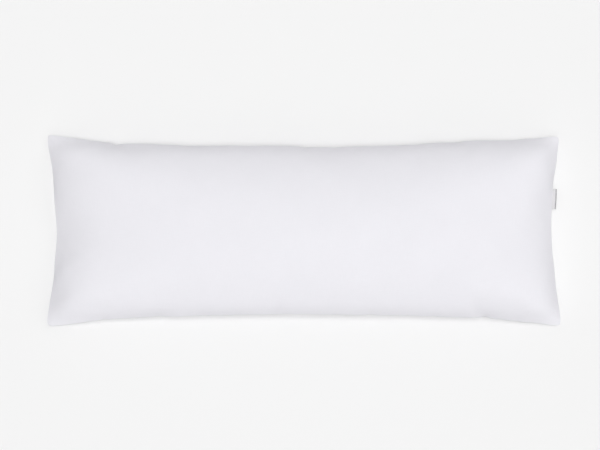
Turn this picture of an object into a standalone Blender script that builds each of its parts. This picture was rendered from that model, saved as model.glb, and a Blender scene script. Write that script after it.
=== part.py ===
"""Body pillow of the long 20 x 54 inch size, lying on its back.

Two equal cotton panels are sewn edge to edge round a soft filling, with no piping and no border
strip. The filled body is one solid. A small folded label is caught in the seam of its right end.

Metres. +X runs along the length, +Y across the width, +Z up out of the upper face. The origin is
on the floor under the middle of the outline.
"""
import math

import bmesh
import bpy

# ---- driving sizes -----------------------------------------------------------------------------
HALF_LENGTH = 0.6744        # half the length over the corners, once filled
HALF_WIDTH = 0.2515         # half the width over the corners, once filled
SIDE_HEIGHT = 0.0560        # seam above the floor at the middle of the long sides
END_HEIGHT = 0.0180         # and at the middle of the ends, where there is less filling
CORNER_HEIGHT = 0.0100      # the corners hang lowest of all
CROWN = 0.0825              # upper face above the seam at the fullest place
SEAM_THICK = 0.0030         # the turned seam allowances pressed together at the edge
CORNER_TURN = 0.0014        # a turned corner pulls in this much along both edges
CORNER_REACH = 0.0160       # over this distance from the corner

# Roundness of the face: full across the middle, falling away to the seam. In each pair the first
# number keeps the middle flatter when it is higher, and the second stands the face more steeply at
# the seam when it is lower.
ACROSS = (2.90, 0.95)       # across the width
LEFT_END = (2.00, 0.76)     # along the length: the left end is the longer and easier slope
RIGHT_END = (2.90, 0.70)    # and the right end is fuller
CONTACT_AT = 0.40           # the underside meets the floor where it is this full
UNDER_CURVE = 2.5           # how softly the underside lifts off the floor
PRESSED_BELOW = 0.0015      # where it would stand lower than this, its weight presses it flat

# The two long seams: how far each is drawn in from HALF_WIDTH.
LONG_SEAMS = [
    # along, far side, near side
    (-1.00, 0.0000, 0.0008),
    (-0.90, 0.0082, 0.0051),
    (-0.80, 0.0179, 0.0142),
    (-0.60, 0.0280, 0.0238),
    (-0.40, 0.0338, 0.0273),
    (-0.20, 0.0350, 0.0295),
    (-0.04, 0.0350, 0.0311),
    (0.06, 0.0376, 0.0300),
    (0.20, 0.0358, 0.0284),
    (0.40, 0.0317, 0.0273),
    (0.60, 0.0233, 0.0223),
    (0.80, 0.0167, 0.0134),
    (0.90, 0.0103, 0.0074),
    (1.00, 0.0043, 0.0000),
]

# The two short seams: how far each is drawn in from HALF_LENGTH.
SHORT_SEAMS = [
    # across, left end, right end
    (-1.00, 0.0010, 0.0019),
    (-0.85, 0.0058, 0.0047),
    (-0.65, 0.0143, 0.0135),
    (-0.40, 0.0208, 0.0181),
    (-0.20, 0.0253, 0.0240),
    (0.00, 0.0280, 0.0251),
    (0.20, 0.0227, 0.0245),
    (0.40, 0.0173, 0.0198),
    (0.65, 0.0133, 0.0115),
    (0.85, 0.0013, 0.0042),
    (1.00, 0.0000, 0.0000),
]

# Shallow hollows where the seam gathers the panels. Places and sizes in metres.
HOLLOWS = [
    # along x, across y, half width along, reach across, depth
    (0.045, 0.225, 0.055, 0.060, 0.0075),
    (-0.520, 0.240, 0.045, 0.050, 0.0050),
    (-0.520, -0.235, 0.050, 0.055, 0.0060),
    (0.520, -0.240, 0.050, 0.060, 0.0060),
    (0.640, 0.020, 0.030, 0.080, 0.0040),
    (-0.640, -0.010, 0.030, 0.080, 0.0040),
]

# Panel mesh.
PANEL_ROWS = 66             # squares along the length
PANEL_COLUMNS = 26          # squares across the width
EDGE_CROWDING = 0.45        # 0 spaces the rows evenly, 1 crowds them at the seams

# Label: a woven ribbon folded in half, its fold outward, its cut ends inside the seam.
LABEL_CENTRE = 0.0810       # across, from the middle of the end
LABEL_LENGTH = 0.0520       # along the seam
LABEL_REACH = 0.0108        # out from the seam to the fold
LABEL_THICK = 0.0014        # both layers together
LABEL_GAP = 0.0003          # clear of the seam
LABEL_SAG = 0.0012          # the fold hangs this much lower than the seam


def between(table, column, place):
    """Read a column of a table at any place with a smooth curve through its rows."""
    place = max(table[0][0], min(table[-1][0], place))
    row = 0
    while row < len(table) - 2 and place > table[row + 1][0]:
        row += 1

    def slope(index):
        before, after = max(index - 1, 0), min(index + 1, len(table) - 1)
        rise = table[after][column] - table[before][column]
        return rise / (table[after][0] - table[before][0])

    span = table[row + 1][0] - table[row][0]
    t = (place - table[row][0]) / span
    start, end = table[row][column], table[row + 1][column]
    return (
        start * (2 * t ** 3 - 3 * t ** 2 + 1)
        + end * (3 * t ** 2 - 2 * t ** 3)
        + slope(row) * span * (t ** 3 - 2 * t ** 2 + t)
        + slope(row + 1) * span * (t ** 3 - t ** 2)
    )


def ease(distance):
    """1 at no distance, falling smoothly to 0 at a distance of 1 or more."""
    near = max(0.0, 1.0 - distance * distance)
    return near * near


def plan(u, v):
    """Place on the floor plan of a panel point, both panel directions running -1 to 1."""
    left = -HALF_LENGTH + between(SHORT_SEAMS, 1, v)
    right = HALF_LENGTH - between(SHORT_SEAMS, 2, v)
    far = HALF_WIDTH - between(LONG_SEAMS, 1, u)
    near = -HALF_WIDTH + between(LONG_SEAMS, 2, u)
    x = left + (right - left) * (u + 1.0) / 2.0
    y = near + (far - near) * (v + 1.0) / 2.0
    from_end = (1.0 - abs(u)) * HALF_LENGTH / CORNER_REACH
    from_side = (1.0 - abs(v)) * HALF_WIDTH / CORNER_REACH
    pulled = CORNER_TURN * ease(from_end) * ease(from_side)
    return x - pulled * (1 if u > 0 else -1), y - pulled * (1 if v > 0 else -1)


def roundness(shape, place):
    flatness, fall = shape
    return max(0.0001, 1.0 - min(1.0, abs(place)) ** flatness) ** fall


def fullness(u, v):
    """0 on the seam and 1 at the fullest place. At a corner both slopes count, so it is lower."""
    wide = roundness(ACROSS, v)
    long = roundness(RIGHT_END if u > 0.0 else LEFT_END, u)
    return 1.0 / math.sqrt(wide ** -2 + long ** -2 - 1.0)


def seam_height(u, v):
    """Height of the seam round the outline, carried on smoothly between the seams."""
    toward_end = abs(u) ** 5
    toward_corner = toward_end * abs(v) ** 3
    return (
        SIDE_HEIGHT
        - (SIDE_HEIGHT - END_HEIGHT) * toward_end
        - (END_HEIGHT - CORNER_HEIGHT) * toward_corner
    )


def hollow(x, y):
    depth = 0.0
    for along, across, half_width, reach, deep in HOLLOWS:
        depth += deep * ease((x - along) / half_width) * ease((y - across) / reach)
    return depth


def upper_height(u, v):
    full = fullness(u, v)
    x, y = plan(u, v)
    sunk = hollow(x, y) * min(1.0, full * 3.0)
    return seam_height(u, v) + SEAM_THICK / 2 + CROWN * full - sunk


def lower_height(u, v):
    left_to_fall = max(0.0, 1.0 - fullness(u, v) / CONTACT_AT)
    risen = (seam_height(u, v) - SEAM_THICK / 2) * left_to_fall ** UNDER_CURVE
    return risen if risen > PRESSED_BELOW else 0.0


def spread(place):
    """Crowd the rows of the panel toward its seams."""
    return place * (1.0 + EDGE_CROWDING * (1.0 - abs(place)) * (1.0 + abs(place)) / 2.0)


def finished(mesh_builder, name, colour, roughness):
    """Turn a bmesh into a named object with its own material."""
    mesh = bpy.data.meshes.new(name)
    mesh_builder.to_mesh(mesh)
    mesh_builder.free()
    part = bpy.data.objects.new(name, mesh)
    bpy.context.scene.collection.objects.link(part)
    material = bpy.data.materials.new(name + "_cloth")
    material.use_nodes = True
    shader = material.node_tree.nodes["Principled BSDF"]
    shader.inputs["Base Color"].default_value = (*colour, 1.0)
    shader.inputs["Roughness"].default_value = roughness
    mesh.materials.append(material)
    return part


for old in list(bpy.data.objects):
    bpy.data.objects.remove(old, do_unlink=True)

# ---- the filled body ---------------------------------------------------------------------------
# Both panels start as one flat grid. Its copy becomes the underside, and a narrow strip bridged
# between their edges is the closed seam.
bm = bmesh.new()
bmesh.ops.create_grid(bm, x_segments=PANEL_ROWS, y_segments=PANEL_COLUMNS, size=1.0)
upper = list(bm.verts)
copied = bmesh.ops.duplicate(bm, geom=bm.verts[:] + bm.edges[:] + bm.faces[:])
lower = [piece for piece in copied["geom"] if isinstance(piece, bmesh.types.BMVert)]
under_faces = [piece for piece in copied["geom"] if isinstance(piece, bmesh.types.BMFace)]
bmesh.ops.reverse_faces(bm, faces=under_faces)

for panel, height in ((upper, upper_height), (lower, lower_height)):
    for vert in panel:
        u, v = spread(vert.co.x), spread(vert.co.y)
        x, y = plan(u, v)
        vert.co = (x, y, height(u, v))

# The outline is moved so that its middle is over the origin; the label moves with it.
middle_x = (min(vert.co.x for vert in upper) + max(vert.co.x for vert in upper)) / 2.0
middle_y = (min(vert.co.y for vert in upper) + max(vert.co.y for vert in upper)) / 2.0
bmesh.ops.translate(bm, verts=bm.verts[:], vec=(-middle_x, -middle_y, 0.0))

seam_edges = [edge for edge in bm.edges if edge.is_boundary]
bmesh.ops.bridge_loops(bm, edges=seam_edges)
bmesh.ops.recalc_face_normals(bm, faces=bm.faces[:])
for face in bm.faces:
    face.smooth = True
finished(bm, "pillow", (0.86, 0.855, 0.89), 0.85)

# ---- the folded label --------------------------------------------------------------------------
# A flat strip follows the seam line at its own gap, is thickened to both layers of ribbon, and has
# its outer edges rolled over where the ribbon folds.
bm = bmesh.new()
bmesh.ops.create_grid(bm, x_segments=3, y_segments=14, size=0.5)
flat = bm.faces[:]
raised = bmesh.ops.extrude_face_region(bm, geom=flat)
top_verts = [piece for piece in raised["geom"] if isinstance(piece, bmesh.types.BMVert)]
bmesh.ops.translate(bm, verts=top_verts, vec=(0.0, 0.0, 1.0))
for vert in bm.verts:
    outward = vert.co.x + 0.5
    layer = vert.co.z - 0.5
    y = LABEL_CENTRE + vert.co.y * LABEL_LENGTH
    v = y / HALF_WIDTH
    v += (y - plan(1.0, v)[1]) / HALF_WIDTH
    seam_x = plan(1.0, v)[0]
    # the fold is rounded: the last row of both layers closes toward the middle
    closing = 0.45 if outward > 0.99 else 1.0
    vert.co = (
        seam_x + LABEL_GAP + outward * LABEL_REACH,
        y,
        seam_height(1.0, v) - LABEL_SAG * outward ** 2 + layer * LABEL_THICK * closing,
    )
bmesh.ops.translate(bm, verts=bm.verts[:], vec=(-middle_x, -middle_y, 0.0))
bmesh.ops.recalc_face_normals(bm, faces=bm.faces[:])
finished(bm, "side_label", (0.80, 0.79, 0.80), 0.7)
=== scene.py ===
# %% [markdown]
# # A body pillow
#
# A body pillow is the plainest piece of upholstery there is: two long cotton panels, sewn edge to
# edge, turned out and stuffed. It has no piping and no border strip. All of its shape, the full
# crown, the drawn-in sides and the four flat corners, comes from flat cloth being forced round a
# soft filling. So this lesson does not sculpt the shape. It cuts the two panels, sews them, fills
# them, and lets the cloth solver find the form.

# %% The frame
import math

import bmesh
import bpy
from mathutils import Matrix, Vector


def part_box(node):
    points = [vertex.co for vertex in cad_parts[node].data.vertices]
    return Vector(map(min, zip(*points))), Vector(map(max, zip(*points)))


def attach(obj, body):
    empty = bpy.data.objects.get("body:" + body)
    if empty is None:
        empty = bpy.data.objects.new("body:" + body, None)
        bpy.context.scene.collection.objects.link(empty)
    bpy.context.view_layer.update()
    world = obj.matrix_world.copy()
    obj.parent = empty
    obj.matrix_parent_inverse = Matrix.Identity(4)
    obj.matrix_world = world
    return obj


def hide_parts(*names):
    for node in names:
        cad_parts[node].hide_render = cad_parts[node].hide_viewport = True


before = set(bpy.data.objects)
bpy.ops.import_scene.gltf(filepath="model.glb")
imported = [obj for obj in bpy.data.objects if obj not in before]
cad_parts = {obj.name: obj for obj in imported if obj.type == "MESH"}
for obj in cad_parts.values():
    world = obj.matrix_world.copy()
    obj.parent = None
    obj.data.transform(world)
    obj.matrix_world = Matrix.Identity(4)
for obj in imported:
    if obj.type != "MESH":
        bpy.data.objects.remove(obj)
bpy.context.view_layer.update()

tag_low, tag_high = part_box("side_label")

# %% [markdown]
# ## Sizes
#
# The cloth is cut 20 by 54 inches, the common size of a body pillow. Everything else follows from
# it: a filled pillow is shorter and narrower than its flat cover, because the cloth has to climb
# over the filling. The measures are in metres.

# %% Sizes
CUT_LENGTH = 1.372
CUT_WIDTH = 0.508
SQUARE = 0.0105             # one square of the panel mesh
THREAD = 0.00036            # from one thread to the next
SAME_PLACE = 0.0001         # places that differ by less than this are the same
squares_long = round(CUT_LENGTH / SQUARE)
squares_wide = round(CUT_WIDTH / SQUARE)
print("panel squares:", squares_long, "by", squares_wide)

# %% [markdown]
# ## Camera
#
# The pillow is looked at from above, with its long axis level. The camera leans back a few degrees
# toward the near side, which lets a little of the shaded floor show under the near edge and hides
# it behind the far one. A long lens keeps the four corners square.

# %% Camera
LEAN = math.radians(4.0)
LENS = 85.0                 # millimetres, as is the sensor
SENSOR_WIDTH = 36.0
FRAME_WIDTH = 1.560         # width of the view at the height of the seams
AIM = Vector((-0.0085, 0.0107, 0.0450))

distance = FRAME_WIDTH * LENS / SENSOR_WIDTH
camera_data = bpy.data.cameras.new("camera")
camera_data.lens = LENS
camera_data.sensor_width = SENSOR_WIDTH
camera = bpy.data.objects.new("camera", camera_data)
bpy.context.scene.collection.objects.link(camera)
camera.location = AIM + distance * Vector((0.0, -math.sin(LEAN), math.cos(LEAN)))
camera.rotation_euler = (LEAN, 0.0, 0.0)
bpy.context.scene.camera = camera
print("camera", round(distance, 2), "m from the pillow")

# %% [markdown]
# ## Floor and light
#
# White cloth on a white floor is told apart by its shading alone, so the light must be gentle but
# not flat. Most of it comes from one broad lamp straight overhead. Each slope then darkens by how
# far it turns away from the lamp, so the drawn-in edges read on every side. A low lamp on the
# right lays a short soft shadow to the left and keeps the left end the darker one. Two lamps on
# the near side lift the near slope. Two faint ones keep the left and far slopes from going grey.

# %% Floor and light
FLOOR_WHITE = 0.84
SKY_STRENGTH = 0.11         # the even light from all round, which only opens up the shadows
scene = bpy.context.scene
scene.view_settings.view_transform = "Standard"


def node_material(name):
    material = bpy.data.materials.new(name)
    material.use_nodes = True
    return material, material.node_tree, material.node_tree.nodes["Principled BSDF"]


def mesh_object(name, bm):
    mesh = bpy.data.meshes.new(name)
    bm.to_mesh(mesh)
    bm.free()
    piece = bpy.data.objects.new(name, mesh)
    bpy.context.scene.collection.objects.link(piece)
    return piece


bm = bmesh.new()
bmesh.ops.create_grid(bm, x_segments=1, y_segments=1, size=25.0)
floor = mesh_object("floor", bm)
floor_paint, _, shader = node_material("floor_paint")
shader.inputs["Base Color"].default_value = (FLOOR_WHITE, FLOOR_WHITE, FLOOR_WHITE, 1.0)
shader.inputs["Roughness"].default_value = 0.9
shader.inputs["Specular IOR Level"].default_value = 0.1
floor.data.materials.append(floor_paint)

world = bpy.data.worlds.new("studio")
scene.world = world
world.use_nodes = True
sky = world.node_tree.nodes["Background"]
sky.inputs["Color"].default_value = (1.0, 1.0, 1.0, 1.0)
sky.inputs["Strength"].default_value = SKY_STRENGTH


def soft_sun(name, toward, strength, spread):
    """A distant lamp: it lights the whole floor evenly. A wide spread makes a soft shadow."""
    lamp_data = bpy.data.lights.new(name, "SUN")
    lamp_data.energy = strength
    lamp_data.angle = math.radians(spread)
    lamp = bpy.data.objects.new(name, lamp_data)
    scene.collection.objects.link(lamp)
    lamp.location = Vector(toward) * 3.0
    lamp.rotation_euler = (-Vector(toward)).to_track_quat("-Z", "Y").to_euler()
    print(name, "from", toward, "strength", strength)


soft_sun("overhead", (0.0, 0.0, 1.0), 1.98, 40.0)
soft_sun("low right", (1.63, 0.45, 1.0), 0.44, 24.0)
soft_sun("left", (-0.90, 0.0, 1.0), 0.06, 24.0)
soft_sun("near", (0.0, -0.40, 1.0), 0.46, 40.0)
soft_sun("low near", (0.0, -1.73, 1.0), 0.50, 40.0)
soft_sun("low far", (0.0, 1.73, 1.0), 0.26, 40.0)

# %% [markdown]
# ## Two panels
#
# Each panel is a flat grid. The second is a copy of the first turned face down, and the two are
# sewn by merging their edge points. Before that, each grid point writes its place on the flat
# cloth into a UV map, in metres, so that the weave can later follow the cloth wherever it bends.
# The two panels lie one above the other in that map, as they would on the cutting table.

# %% Cutting
TABLE_GAP = 0.02            # between the two panels on the cutting table
bm = bmesh.new()
bmesh.ops.create_grid(bm, x_segments=squares_long, y_segments=squares_wide, size=0.5)
bmesh.ops.scale(bm, vec=(CUT_LENGTH, CUT_WIDTH, 1.0), verts=bm.verts[:])
copied = bmesh.ops.duplicate(bm, geom=bm.verts[:] + bm.edges[:] + bm.faces[:])
lower_faces = [g for g in copied["geom"] if isinstance(g, bmesh.types.BMFace)]
lower_verts = [g for g in copied["geom"] if isinstance(g, bmesh.types.BMVert)]
bmesh.ops.reverse_faces(bm, faces=lower_faces)

cloth_map = bm.loops.layers.uv.new("cloth")
for face in bm.faces:
    for loop in face.loops:
        loop[cloth_map].uv = loop.vert.co.xy
for face in lower_faces:
    for loop in face.loops:
        loop[cloth_map].uv.y -= CUT_WIDTH + TABLE_GAP
print("two panels of", len(lower_faces), "squares")

# %% Sewing
PANEL_LIFT = 0.004          # each panel starts this far from the level of the seam
lower_set = set(lower_verts)
for vert in bm.verts:
    if not vert.is_boundary:
        vert.co.z = -PANEL_LIFT if vert in lower_set else PANEL_LIFT
edge_points = [v for v in bm.verts if v.is_boundary]
bmesh.ops.remove_doubles(bm, verts=edge_points, dist=SAME_PLACE)
print("open edges left after sewing:", sum(e.is_boundary for e in bm.edges))

# %% [markdown]
# A corner is never sewn to a true point. The stitch line is turned round a small curve, and each
# corner came out a little differently. The grid is drawn in there, most at the corner itself and
# less with the distance from it, before the cloth is filled. The straight places are kept, to name
# each point by its place on the panel later.

# %% Corners
CORNERS = [
    # end, side, radius of the turn
    (-1, 1, 0.009),
    (1, 1, 0.010),
    (-1, -1, 0.016),
    (1, -1, 0.015),
]
CORNER_STANDS_IN = 0.29     # a round corner stands in by this share of its radius
START_HEIGHT = 0.075        # of the empty cover above the floor
bm.verts.ensure_lookup_table()
rest_places = [vert.co.copy() for vert in bm.verts]
for end, side, radius in CORNERS:
    for vert, rest in zip(bm.verts, rest_places):
        from_end = (CUT_LENGTH / 2 - end * rest.x) / radius
        from_side = (CUT_WIDTH / 2 - side * rest.y) / radius
        if from_end < 1.0 and from_side < 1.0:
            drawn = CORNER_STANDS_IN * radius * (1.0 - from_end) ** 2 * (1.0 - from_side) ** 2
            vert.co.x -= end * drawn
            vert.co.y -= side * drawn
bmesh.ops.translate(bm, verts=bm.verts[:], vec=(0.0, 0.0, START_HEIGHT))
pillow = mesh_object("filled_pillow", bm)
print("corners turned:", len(CORNERS))

# %% [markdown]
# ## Filling
#
# Stuffing pushes outwards evenly, as air pressure does, and its own weight makes it spread toward
# the floor, as a fluid's would. It never packs tightly into the ends, so the push is weaker there
# and the pillow tapers. Cloth hardly stretches in its threads, shears and buckles easily, and the
# four stiffness values follow that. One more thing makes a sewn edge look sewn: the stitches pull
# it a little shorter than the panel beside it, and the cloth gathers there. The solver's shrink
# factor does that, through a vertex group that holds the seam alone.

# %% Seam group
seam_group = pillow.vertex_groups.new(name="seam")


def on_seam(place):
    at_end = abs(abs(place.x) - CUT_LENGTH / 2) < SAME_PLACE
    at_side = abs(abs(place.y) - CUT_WIDTH / 2) < SAME_PLACE
    return at_end or at_side


seam_points = [index for index, rest in enumerate(rest_places) if on_seam(rest)]
seam_group.add(list(range(len(rest_places))), 0.0, "REPLACE")
seam_group.add(seam_points, 1.0, "REPLACE")
print("points on the seam:", len(seam_points))

# %% Filling group
END_FILL = 0.75             # how hard the filling pushes at the ends, against 1 in the middle
END_REACH = 0.35            # how far in from an end it is weaker
fill_group = pillow.vertex_groups.new(name="filling")
for index, rest in enumerate(rest_places):
    inward = min(1.0, (CUT_LENGTH / 2 - abs(rest.x)) / END_REACH)
    push = END_FILL + (1.0 - END_FILL) * inward * inward * (3.0 - 2.0 * inward)
    fill_group.add([index], push, "REPLACE")
print("the ends are pushed at", END_FILL, "of the full strength")

# %% Floor for the simulation
bm = bmesh.new()
bmesh.ops.create_grid(bm, x_segments=1, y_segments=1, size=2.0)
catch = mesh_object("catch", bm)
catch.modifiers.new("catch", "COLLISION")
catch.collision.thickness_outer = 0.002
catch.collision.cloth_friction = 5.0
print("the floor catches the cloth, friction", catch.collision.cloth_friction)

# %% Cloth
SETTLING_FRAMES = 35
CACHED_FRAMES = 60
filling = pillow.modifiers.new("filling", "CLOTH")
cloth = filling.settings
cloth.quality = 6
cloth.mass = 0.011
cloth.tension_stiffness = 10.0
cloth.compression_stiffness = 5.0
cloth.shear_stiffness = 0.5
cloth.bending_stiffness = 0.1
cloth.tension_damping = cloth.compression_damping = cloth.shear_damping = 25.0
cloth.air_damping = 2.0
cloth.use_pressure = True
cloth.uniform_pressure_force = 2.6
cloth.fluid_density = 1.0
cloth.vertex_group_pressure = "filling"
cloth.vertex_group_shrink = "seam"
cloth.shrink_min = 0.0
cloth.shrink_max = 0.012
filling.collision_settings.use_collision = True
filling.collision_settings.distance_min = 0.003
filling.collision_settings.use_self_collision = False
filling.point_cache.frame_start, filling.point_cache.frame_end = 1, CACHED_FRAMES
for number in range(1, SETTLING_FRAMES + 1):
    scene.frame_set(number)

settled = pillow.evaluated_get(bpy.context.evaluated_depsgraph_get())
filled_mesh = bpy.data.meshes.new_from_object(settled)
pillow.modifiers.clear()
pillow.vertex_groups.clear()
pillow.data = filled_mesh
bpy.data.objects.remove(catch)
scene.frame_set(1)
print("filled, highest point", round(max(v.co.z for v in filled_mesh.vertices), 4))

# %% [markdown]
# ## Drawing the seams to their lines
#
# The solver finds the form, but not this pillow's exact outline: a real one is pulled and patted
# before it is laid down. The four seams are moved on to measured lines, and the cloth between them
# moves along in proportion, so every gather the solver made is kept. The tables give how far each
# seam is drawn in from the corners, at stations along it.

# %% Seam lines
HALF_LENGTH = 0.6744        # half the length over the corners, once filled
HALF_WIDTH = 0.2515         # half the width over the corners, once filled
LONG_SEAMS = [
    # along, far side, near side
    (-1.00, 0.0000, 0.0008),
    (-0.90, 0.0082, 0.0051),
    (-0.80, 0.0179, 0.0142),
    (-0.60, 0.0280, 0.0238),
    (-0.40, 0.0338, 0.0273),
    (-0.20, 0.0350, 0.0295),
    (-0.04, 0.0350, 0.0311),
    (0.06, 0.0376, 0.0300),
    (0.20, 0.0358, 0.0284),
    (0.40, 0.0317, 0.0273),
    (0.60, 0.0233, 0.0223),
    (0.80, 0.0167, 0.0134),
    (0.90, 0.0103, 0.0074),
    (1.00, 0.0043, 0.0000),
]
SHORT_SEAMS = [
    # across, left end, right end
    (-1.00, 0.0010, 0.0019),
    (-0.85, 0.0058, 0.0047),
    (-0.65, 0.0143, 0.0135),
    (-0.40, 0.0208, 0.0181),
    (-0.20, 0.0253, 0.0240),
    (0.00, 0.0280, 0.0251),
    (0.20, 0.0227, 0.0245),
    (0.40, 0.0173, 0.0198),
    (0.65, 0.0133, 0.0115),
    (0.85, 0.0013, 0.0042),
    (1.00, 0.0000, 0.0000),
]


def between(table, column, place):
    """Read a column of a table at any place, with a smooth curve through its rows."""
    place = max(table[0][0], min(table[-1][0], place))
    row = 0
    while row < len(table) - 2 and place > table[row + 1][0]:
        row += 1

    def slope(index):
        before, after = max(index - 1, 0), min(index + 1, len(table) - 1)
        rise = table[after][column] - table[before][column]
        return rise / (table[after][0] - table[before][0])

    span = table[row + 1][0] - table[row][0]
    t = (place - table[row][0]) / span
    start, end = table[row][column], table[row + 1][column]
    return (
        start * (2 * t ** 3 - 3 * t ** 2 + 1)
        + end * (3 * t ** 2 - 2 * t ** 3)
        + slope(row) * span * (t ** 3 - 2 * t ** 2 + t)
        + slope(row + 1) * span * (t ** 3 - t ** 2)
    )


print("stations on a long seam:", len(LONG_SEAMS), "and on a short one:", len(SHORT_SEAMS))

# %% Measuring the seams
READING_REACH = 0.03        # a seam is read over this distance on both sides of a station
LAST_LONG, LAST_SHORT = 0.95, 0.88      # beyond these stations the corners begin to turn
points = filled_mesh.vertices
half_cut = (CUT_LENGTH / 2, CUT_WIDTH / 2)


def seam_average(axis, side, station, measured):
    """One coordinate of a seam near a station, averaged over a short stretch of the seam."""
    total = weight_sum = 0.0
    for index in seam_points:
        rest = rest_places[index]
        gap = abs(rest[1 - axis] - station * half_cut[1 - axis]) / READING_REACH
        if abs(rest[axis] - side * half_cut[axis]) < SAME_PLACE and gap < 1.0:
            total += (1.0 - gap) * points[index].co[measured]
            weight_sum += 1.0 - gap
    return total / weight_sum


def moves(axis, table, column, side, half, last_station):
    """How far each station of one seam has to move along an axis. The turned corners are left
    out of the measuring: the stations at the ends are read a little way in from them."""
    stations = []
    for row in table:
        station = max(-last_station, min(last_station, row[0]))
        wanted = side * (half - between(table, column, station))
        stations.append((row[0], wanted - seam_average(axis, side, station, axis)))
    return stations


move_far = moves(1, LONG_SEAMS, 1, 1, HALF_WIDTH, LAST_LONG)
move_near = moves(1, LONG_SEAMS, 2, -1, HALF_WIDTH, LAST_LONG)
move_left = moves(0, SHORT_SEAMS, 1, -1, HALF_LENGTH, LAST_SHORT)
move_right = moves(0, SHORT_SEAMS, 2, 1, HALF_LENGTH, LAST_SHORT)
seam_moves = {"far": move_far, "near": move_near, "left": move_left, "right": move_right}
for name, table in seam_moves.items():
    print(name, "seam moved, mm:", [round(row[1] * 1000, 1) for row in table])

# %% Seam heights
WANTED_HEIGHTS = (0.056, 0.018, 0.010)      # middle of the sides, middle of the ends, corners
side_height = (seam_average(1, 1, 0.0, 2) + seam_average(1, -1, 0.0, 2)) / 2
end_height = (seam_average(0, 1, 0.0, 2) + seam_average(0, -1, 0.0, 2)) / 2
corner_height = sum(seam_average(0, end, side, 2) for end in (-1, 1) for side in (-1, 1)) / 4
solved_heights = (side_height, end_height, corner_height)
print("seam heights, mm:", [round(h * 1000, 1) for h in solved_heights])


def seam_height(heights, u, v):
    sides, ends, corners = heights
    return sides - (sides - ends) * abs(u) ** 5 - (ends - corners) * abs(u) ** 5 * abs(v) ** 3


# %% Moving the seams
top = max(vert.co.z for vert in points)
for vert, rest in zip(points, rest_places):
    u, v = rest.x / (CUT_LENGTH / 2), rest.y / (CUT_WIDTH / 2)
    to_right, to_far = (u + 1) / 2, (v + 1) / 2
    vert.co.x += (1 - to_right) * between(move_left, 1, v) + to_right * between(move_right, 1, v)
    vert.co.y += (1 - to_far) * between(move_near, 1, u) + to_far * between(move_far, 1, u)
    solved = seam_height(solved_heights, u, v)
    from_seam = vert.co.z - solved
    fullness = from_seam / (top - solved) if from_seam > 0.0 else -from_seam / solved
    vert.co.z += (seam_height(WANTED_HEIGHTS, u, v) - solved) * max(0.0, 1.0 - fullness)
print("length now, metres:", round(max(p.co.x for p in points) - min(p.co.x for p in points), 4))

# %% [markdown]
# The solver pinches each end seam at one stitch, about half way to a corner, where a sewing machine
# would spread the fullness over many. So the end seams are evened out along their stitches, and
# the cloth next to them follows.

# %% Evening the end seams
EVEN_PASSES = 8
EVEN_REACH = 0.060          # how far in from the seam the cloth follows
CORNER_KEPT = 0.20          # over this share of the half width the evening fades out


def evened(line):
    """Each point moves toward the middle of its two neighbours; the two last ones stay."""
    for _ in range(EVEN_PASSES):
        line[1:-1] = [(a + 2 * b + c) / 4 for a, b, c in zip(line, line[1:], line[2:])]
    return line


for end in (-1, 1):
    stitches = [
        index
        for index in seam_points
        if abs(rest_places[index].x - end * CUT_LENGTH / 2) < SAME_PLACE
    ]
    stitches.sort(key=lambda index: rest_places[index].y)
    shifts = {}
    for index, place in zip(stitches, evened([points[i].co.copy() for i in stitches])):
        v = rest_places[index].y / (CUT_WIDTH / 2)
        held = min(1.0, (1.0 - abs(v)) / CORNER_KEPT)
        shifts[round(rest_places[index].y, 4)] = (place - points[index].co) * held
    for vert, rest in zip(points, rest_places):
        near = max(0.0, 1.0 - (CUT_LENGTH / 2 - end * rest.x) / EVEN_REACH)
        vert.co += shifts[round(rest.y, 4)] * near * near
    print("largest move, mm:", round(max(shift.length for shift in shifts.values()) * 1000, 1))

# %% [markdown]
# ## Patting the filling
#
# Once it lies down, a pillow is patted into shape. The filling is shaken into the four corners,
# which a balloon would leave as flat ears. The left end settles into a longer and easier slope
# than the right one, which stays fuller. Each point of the upper panel is raised or lowered for
# that by its place on the plan. One curve works across the width and one along the length. At a
# corner, where both are low, they are joined so that the contours of the filling turn the corner
# in a round bend and leave a little flat cloth at its tip. A smaller share joins them as two
# resistances side by side are joined, which carries some filling right into the tip. The gathers
# stay as they are.

# %% Patting
SOLVED_ACROSS, SOLVED_ALONG = (3.06, 1.05), (2.36, 0.44)
PATTED_ACROSS, PATTED_LEFT, PATTED_RIGHT = (2.60, 0.98), (2.00, 0.57), (3.20, 0.55)
PATTED_DOWN = 0.955          # the middle sinks to this share of its height above the seam
ROUNDED_SHARE = 0.75         # how much of a corner follows the rounded contours
CONTOUR_POWER = 2.6          # 2 rounds them as a circle does, more keeps them squarer
MOST_RAISED = 3.0            # no point is raised to more than this many times its height
NEVER_ZERO = 0.0001          # a curve stops here, because others are divided by it


def roundness(shape, place):
    """1 in the middle and 0 at the seam: a power sets how flat the middle is, another the fall."""
    flatness, fall = shape
    return max(NEVER_ZERO, 1.0 - min(1.0, abs(place)) ** flatness) ** fall


def on_plan(place):
    """Where a point lies between the near and far seams, and between the left and right ones."""
    u, v = place.x / HALF_LENGTH, place.y / HALF_WIDTH
    far, near = HALF_WIDTH - between(LONG_SEAMS, 1, u), between(LONG_SEAMS, 2, u) - HALF_WIDTH
    left, right = between(SHORT_SEAMS, 1, v) - HALF_LENGTH, HALF_LENGTH - between(SHORT_SEAMS, 2, v)
    return 2 * (place.y - near) / (far - near) - 1, 2 * (place.x - left) / (right - left) - 1


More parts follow.
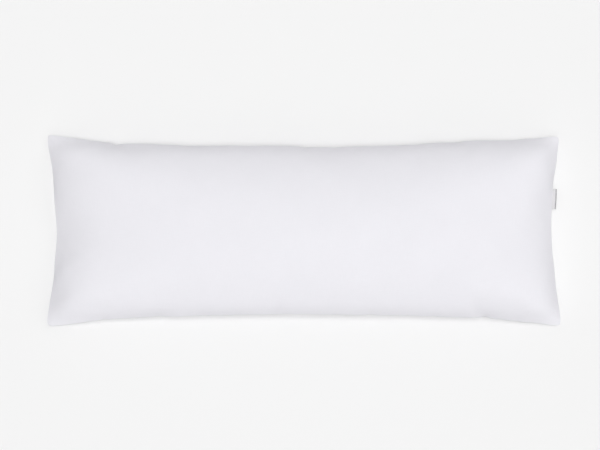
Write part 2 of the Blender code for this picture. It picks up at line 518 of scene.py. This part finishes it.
def joined(wide, long):
    """Both curves as one: 1 in the middle, 0 on every seam, with rounded contours at a corner."""
    short_of = (1.0 - wide) ** CONTOUR_POWER + (1.0 - long) ** CONTOUR_POWER
    rounded = max(0.0, 1.0 - short_of ** (1.0 / CONTOUR_POWER))
    side_by_side = 1.0 / (1.0 / wide + 1.0 / long - 1.0)
    return ROUNDED_SHARE * rounded + (1.0 - ROUNDED_SHARE) * side_by_side


for vert, rest in zip(points, rest_places):
    if rest.z < 0.0 or on_seam(rest):
        continue
    across, along = on_plan(vert.co)
    solved = roundness(SOLVED_ACROSS, across) * roundness(SOLVED_ALONG, along)
    wide = roundness(PATTED_ACROSS, across)
    long = roundness(PATTED_RIGHT if along > 0.0 else PATTED_LEFT, along)
    patted = PATTED_DOWN * joined(wide, long)
    seam_z = seam_height(WANTED_HEIGHTS, along, across)
    vert.co.z = seam_z + max(0.0, vert.co.z - seam_z) * min(MOST_RAISED, patted / solved)
print("patted down to", round(max(v.co.z for v in points), 4))

# %% [markdown]
# The filling is never quite even. Where the seam gathers the cloth, a shallow hollow runs in from
# it: one in the middle of the far side, one near three of the four corners, one at each end. The
# stitches also pucker the cloth in short waves, which show most on the far side by the left corner.

# %% Hollows and puckers
HOLLOWS = [
    # along x, across y, half width along, reach across, depth
    (0.045, 0.225, 0.055, 0.060, 0.0075),
    (-0.520, 0.240, 0.045, 0.050, 0.0050),
    (-0.520, -0.235, 0.050, 0.055, 0.0060),
    (0.520, -0.240, 0.050, 0.060, 0.0060),
    (0.640, 0.020, 0.030, 0.080, 0.0040),
    (-0.640, -0.010, 0.030, 0.080, 0.0040),
]
PUCKERS = [
    # middle x, side, half length, from one to the next, depth
    (-0.540, 1, 0.110, 0.034, 0.0026),
    (0.060, 1, 0.090, 0.046, 0.0014),
    (-0.500, -1, 0.090, 0.040, 0.0016),
    (0.530, -1, 0.090, 0.042, 0.0018),
]
PUCKER_REACH = 0.030        # how far a pucker runs in from the seam
PUCKER_SINKS = 0.8          # it sinks by this share of what it is drawn in
HOLLOW_RISE = 0.030         # a hollow has its full depth from this height above the seam


def ease(distance):
    """1 at no distance, falling smoothly to 0 at a distance of 1 or more."""
    inside = max(0.0, 1.0 - distance * distance)
    return inside * inside


for vert, rest in zip(points, rest_places):
    across, along = on_plan(vert.co)
    x, y = vert.co.x, vert.co.y
    if rest.z >= 0.0:
        risen = max(0.0, vert.co.z - seam_height(WANTED_HEIGHTS, along, across))
        for place, across_place, half, reach, deep in HOLLOWS:
            sunk = deep * ease((x - place) / half) * ease((y - across_place) / reach)
            vert.co.z -= sunk * min(1.0, risen / HOLLOW_RISE)
    for place, side, half, spacing, deep in PUCKERS:
        if side * rest.y <= 0.0:
            continue
        from_seam = (CUT_WIDTH / 2 - side * rest.y) / PUCKER_REACH
        wave = 0.5 - 0.5 * math.cos(2 * math.pi * (x - place) / spacing)
        pulled = deep * wave * ease((x - place) / half) * ease(from_seam)
        vert.co.y -= side * pulled
        vert.co.z -= PUCKER_SINKS * pulled
print("hollows:", len(HOLLOWS), "puckered stretches:", len(PUCKERS))

# %% Settling on the floor
SMOOTHING_PASSES = 6
SEAM_CREASE = 0.95          # 1 would keep the seam perfectly sharp when the mesh is refined
bm = bmesh.new()
bm.from_mesh(filled_mesh)
bm.verts.ensure_lookup_table()
seam_set = set(seam_points)
open_cloth = [v for v in bm.verts if v.index not in seam_set]
for _ in range(SMOOTHING_PASSES):
    bmesh.ops.smooth_vert(
        bm, verts=open_cloth, factor=0.5, use_axis_x=True, use_axis_y=True, use_axis_z=True
    )
lowest = min(v.co.z for v in bm.verts)
bmesh.ops.translate(bm, verts=bm.verts[:], vec=(0.0, 0.0, -lowest))
middle_x = (min(v.co.x for v in bm.verts) + max(v.co.x for v in bm.verts)) / 2
middle_y = (min(v.co.y for v in bm.verts) + max(v.co.y for v in bm.verts)) / 2
bmesh.ops.translate(bm, verts=bm.verts[:], vec=(-middle_x, -middle_y, 0.0))
crease = bm.edges.layers.float.new("crease_edge")
for edge in bm.edges:
    if edge.verts[0].index in seam_set and edge.verts[1].index in seam_set:
        edge[crease] = SEAM_CREASE
        edge.smooth = False
print("volume, litres:", round(bm.calc_volume() * 1000, 1))
bm.to_mesh(filled_mesh)
bm.free()

# %% Smooth finish
for face in filled_mesh.polygons:
    face.use_smooth = True
finer = pillow.modifiers.new("finer", "SUBSURF")
finer.levels = finer.render_levels = 1
TRIANGLES_A_SQUARE = 8      # each square becomes four, and each of those is two triangles
print("pillow triangles:", len(filled_mesh.polygons) * TRIANGLES_A_SQUARE)

# %% [markdown]
# ## Cotton
#
# The cover is close, matt percale. Up close it is a plain weave of warp and weft; from a step back
# it is an even white with a faint cool tint. The weave is two crossed waves on the cloth's own UV
# map, multiplied into a chequer of raised threads. Long thin noise along each direction gives
# threads of uneven thickness.

# %% Cotton
DIM_WHITE = (0.790, 0.782, 0.822, 1.0)
BRIGHT_WHITE = (0.835, 0.828, 0.868, 1.0)
ALONG_THREAD, ACROSS_THREAD = 35.0, 1400.0      # how fine the noise is in the two directions
cotton, tree, shader = node_material("white_percale")
nodes, links = tree.nodes, tree.links


def add(kind, **values):
    node = nodes.new(kind)
    for key, value in values.items():
        setattr(node, key, value)
    return node


def math_node(operation, first, second=None):
    node = add("ShaderNodeMath", operation=operation)
    for slot_number, value in enumerate((first, second)):
        if value is None:
            continue
        if isinstance(value, (int, float)):
            node.inputs[slot_number].default_value = value
        else:
            links.new(value, node.inputs[slot_number])
    return node.outputs[0]


cloth_uv = add("ShaderNodeUVMap", uv_map="cloth")
split = add("ShaderNodeSeparateXYZ")
links.new(cloth_uv.outputs["UV"], split.inputs[0])
turns = 2 * math.pi / (2 * THREAD)
warp = math_node("SINE", math_node("MULTIPLY", split.outputs["X"], turns))
weft = math_node("SINE", math_node("MULTIPLY", split.outputs["Y"], turns))
weave = math_node("MULTIPLY", warp, weft)


def streaks(along_x, along_y, detail):
    """Noise on the cloth map, stretched by giving its two directions different scales."""
    scaled = add("ShaderNodeMapping")
    scaled.inputs["Scale"].default_value = (along_x, along_y, 1.0)
    links.new(cloth_uv.outputs["UV"], scaled.inputs["Vector"])
    noise = add("ShaderNodeTexNoise")
    noise.inputs["Scale"].default_value = 1.0
    noise.inputs["Detail"].default_value = detail
    links.new(scaled.outputs["Vector"], noise.inputs["Vector"])
    return noise.outputs["Fac"]


slubs = math_node(
    "ADD", streaks(ALONG_THREAD, ACROSS_THREAD, 2.0), streaks(ACROSS_THREAD, ALONG_THREAD, 2.0)
)
cloud = streaks(9.0, 9.0, 3.0)
tone = math_node("ADD", math_node("MULTIPLY", slubs, 0.35), math_node("MULTIPLY", cloud, 0.30))
tint = add("ShaderNodeValToRGB")
tint.color_ramp.elements[0].position = 0.30
tint.color_ramp.elements[0].color = DIM_WHITE
tint.color_ramp.elements[1].position = 0.72
tint.color_ramp.elements[1].color = BRIGHT_WHITE
links.new(tone, tint.inputs["Fac"])
links.new(tint.outputs["Color"], shader.inputs["Base Color"])
shader.inputs["Roughness"].default_value = 0.92
shader.inputs["Specular IOR Level"].default_value = 0.25

thread_bump = add("ShaderNodeBump")
thread_bump.inputs["Strength"].default_value = 0.35
thread_bump.inputs["Distance"].default_value = 0.00012
links.new(math_node("ADD", weave, slubs), thread_bump.inputs["Height"])
crumple_bump = add("ShaderNodeBump")
crumple_bump.inputs["Strength"].default_value = 0.25
crumple_bump.inputs["Distance"].default_value = 0.0012
links.new(streaks(42.0, 42.0, 3.0), crumple_bump.inputs["Height"])
links.new(crumple_bump.outputs["Normal"], thread_bump.inputs["Normal"])
links.new(thread_bump.outputs["Normal"], shader.inputs["Normal"])
pillow.data.materials.clear()
pillow.data.materials.append(cotton)
print("threads to the centimetre:", round(0.01 / THREAD))

# %% [markdown]
# ## Side label
#
# The label is a short woven ribbon, folded in half, with its cut ends caught in the seam. It is
# made as a person would fold it: the upper layer is a flat strip, its outer edge is spun half a
# turn round the fold, and the lower layer is drawn back from there to the seam.

# %% Ribbon
TAG_LENGTH = tag_high[1] - tag_low[1]
TAG_MIDDLE = (tag_high[1] + tag_low[1]) / 2
TAG_REACH = 0.0108
TAG_FOLD = 0.00048          # radius of the fold, at the middle of the ribbon
TAG_CLOTH = 0.00040
TUCK = 0.003                # hidden inside the seam
TAG_SAG = 0.0012            # the fold hangs this much lower than the seam
LAYER_STEPS = 8             # squares along each layer
FOLD_STEPS = 8              # and round the fold

bm = bmesh.new()
bmesh.ops.create_grid(bm, x_segments=LAYER_STEPS, y_segments=36, size=0.5)
straight = TAG_REACH - TAG_FOLD
bmesh.ops.scale(bm, vec=(straight + TUCK, TAG_LENGTH, 1.0), verts=bm.verts[:])
bmesh.ops.translate(bm, verts=bm.verts[:], vec=((straight - TUCK) / 2, 0.0, TAG_FOLD))
outer = [e for e in bm.edges if all(abs(v.co.x - straight) < 1e-6 for v in e.verts)]
turned = bmesh.ops.spin(
    bm,
    geom=outer,
    cent=(straight, 0.0, 0.0),
    axis=(0.0, 1.0, 0.0),
    angle=math.pi,
    steps=FOLD_STEPS,
    use_merge=False,
)
last = [g for g in turned["geom_last"] if isinstance(g, bmesh.types.BMEdge)]
for _ in range(LAYER_STEPS):
    drawn = bmesh.ops.extrude_edge_only(bm, edges=last)
    moved = [g for g in drawn["geom"] if isinstance(g, bmesh.types.BMVert)]
    last = [g for g in drawn["geom"] if isinstance(g, bmesh.types.BMEdge)]
    bmesh.ops.translate(bm, verts=moved, vec=(-(straight + TUCK) / LAYER_STEPS, 0.0, 0.0))
    last = [e for e in last if all(v in set(moved) for v in e.verts)]
print("ribbon folded at", round(max(v.co.x for v in bm.verts) * 1000, 2), "mm")

# %% Ribbon map
ribbon_map = bm.loops.layers.uv.new("ribbon")
for face in bm.faces:
    under = face.calc_center_median().z < 0.0
    for loop in face.loops:
        out = loop.vert.co.x
        across = 2 * TAG_REACH - out if under else out
        loop[ribbon_map].uv = (across, loop.vert.co.y)
bmesh.ops.recalc_face_normals(bm, faces=bm.faces[:])
bmesh.ops.solidify(bm, geom=bm.faces[:], thickness=TAG_CLOTH)
print("ribbon squares, both sides:", len(bm.faces))

# %% Following the seam
right_seam = sorted(
    (filled_mesh.vertices[i].co.y, filled_mesh.vertices[i].co.x, filled_mesh.vertices[i].co.z)
    for i in seam_points
    if abs(rest_places[i].x - CUT_LENGTH / 2) < SAME_PLACE
)


def seam_at(y):
    """Where the right seam runs at this place across: its x and its height."""
    for (y0, x0, z0), (y1, x1, z1) in zip(right_seam, right_seam[1:]):
        if y0 <= y <= y1:
            t = (y - y0) / (y1 - y0)
            return x0 + t * (x1 - x0), z0 + t * (z1 - z0)
    raise ValueError("the label is off the seam")


for vert in bm.verts:
    y = TAG_MIDDLE + vert.co.y
    seam_x, seam_z = seam_at(y)
    sag = TAG_SAG * max(0.0, vert.co.x / TAG_REACH) ** 2
    vert.co = (seam_x + vert.co.x, y, seam_z + vert.co.z - sag)
bmesh.ops.recalc_face_normals(bm, faces=bm.faces[:])
for face in bm.faces:
    face.smooth = True
label = mesh_object("folded_label", bm)
print("label reaches x =", round(max(v.co.x for v in label.data.vertices), 4))

# %% Ribbon finish
RIBBON_WHITE = (0.66, 0.65, 0.67, 1.0)
MARK_GREY = (0.10, 0.10, 0.11, 1.0)
RIB = 0.0005                # from one rib of the weave to the next
BAND_START, BAND_END = 0.0008, 0.0032   # the row of dashes, measured from the fold
DASH = 0.0030               # from one dash to the next
DASH_SHARE = 0.62           # of that length is dark
ribbon, tree, shader = node_material("woven_ribbon")
nodes, links = tree.nodes, tree.links
ribbon_uv = add("ShaderNodeUVMap", uv_map="ribbon")
split = add("ShaderNodeSeparateXYZ")
links.new(ribbon_uv.outputs["UV"], split.inputs[0])
ribs = math_node("SINE", math_node("MULTIPLY", split.outputs["Y"], 2 * math.pi / RIB))
from_fold = math_node("ABSOLUTE", math_node("SUBTRACT", split.outputs["X"], TAG_REACH))
in_band = math_node("LESS_THAN", from_fold, BAND_END)
beyond = math_node("GREATER_THAN", from_fold, BAND_START)
along_dash = math_node("FRACT", math_node("DIVIDE", split.outputs["Y"], DASH))
dash = math_node("LESS_THAN", along_dash, DASH_SHARE)
mark = math_node("MULTIPLY", math_node("MULTIPLY", in_band, beyond), dash)
mix = add("ShaderNodeMix", data_type="RGBA")
mix.inputs["A"].default_value = RIBBON_WHITE
mix.inputs["B"].default_value = MARK_GREY
links.new(mark, mix.inputs["Factor"])
links.new(mix.outputs["Result"], shader.inputs["Base Color"])
shader.inputs["Roughness"].default_value = 0.6
shader.inputs["Sheen Weight"].default_value = 0.1
rib_bump = add("ShaderNodeBump")
rib_bump.inputs["Strength"].default_value = 0.5
rib_bump.inputs["Distance"].default_value = 0.0001
links.new(ribs, rib_bump.inputs["Height"])
links.new(rib_bump.outputs["Normal"], shader.inputs["Normal"])
label.data.materials.append(ribbon)
print("ribs to the millimetre:", round(0.001 / RIB))

# %% [markdown]
# ## Joining the frame
#
# Both pieces belong to the one rigid body of the solid model, and each stands for its solid.

# %% Joining the frame
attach(pillow, "root")
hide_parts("pillow")
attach(label, "root")
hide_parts("side_label")
